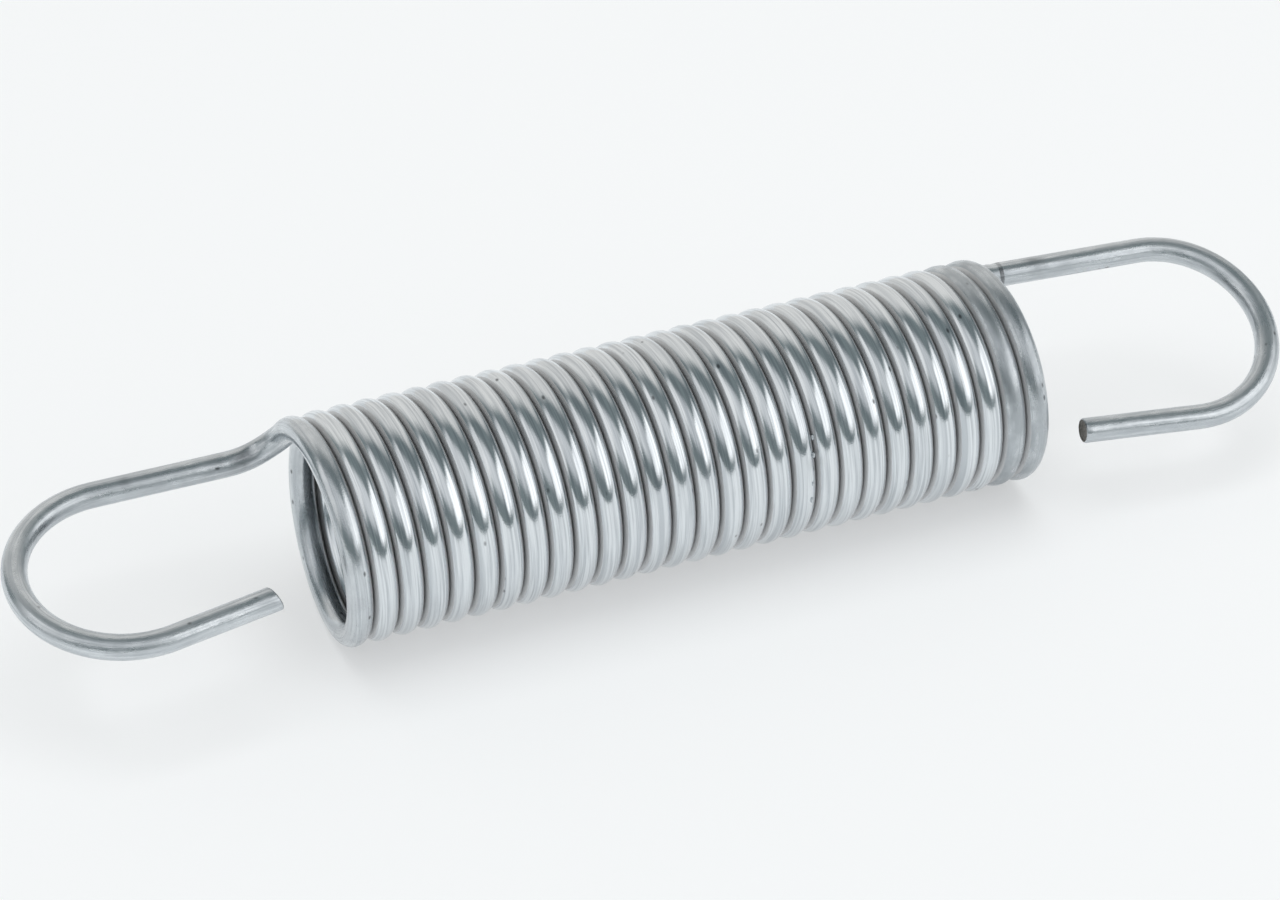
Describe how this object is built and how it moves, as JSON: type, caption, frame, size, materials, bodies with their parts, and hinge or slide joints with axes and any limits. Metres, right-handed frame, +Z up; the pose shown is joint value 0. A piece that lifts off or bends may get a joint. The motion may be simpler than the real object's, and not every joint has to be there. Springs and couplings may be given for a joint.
{
  "type": "extension spring",
  "caption": "Close-wound extension spring of round zinc-plated steel wire, with an extended open hook at each end, lying on its coil.",
  "frame": {"origin": "under the middle of the spring's box, on the surface that the coil lies on", "axes": "+X along the coil's axis towards the hook with the cleaner, square-cut tip; +Z up; +Y towards the side that the hooks' straight stems are on"},
  "size_m": [0.2118, 0.0368, 0.0364],
  "materials": {
    "zinc_plated_wire": "bright zinc plate on cold-drawn steel wire, with fine draw lines along the wire"
  },
  "bodies": {
    "root": {"spring_wire": "zinc_plated_wire"}
  },
  "joints": []
}
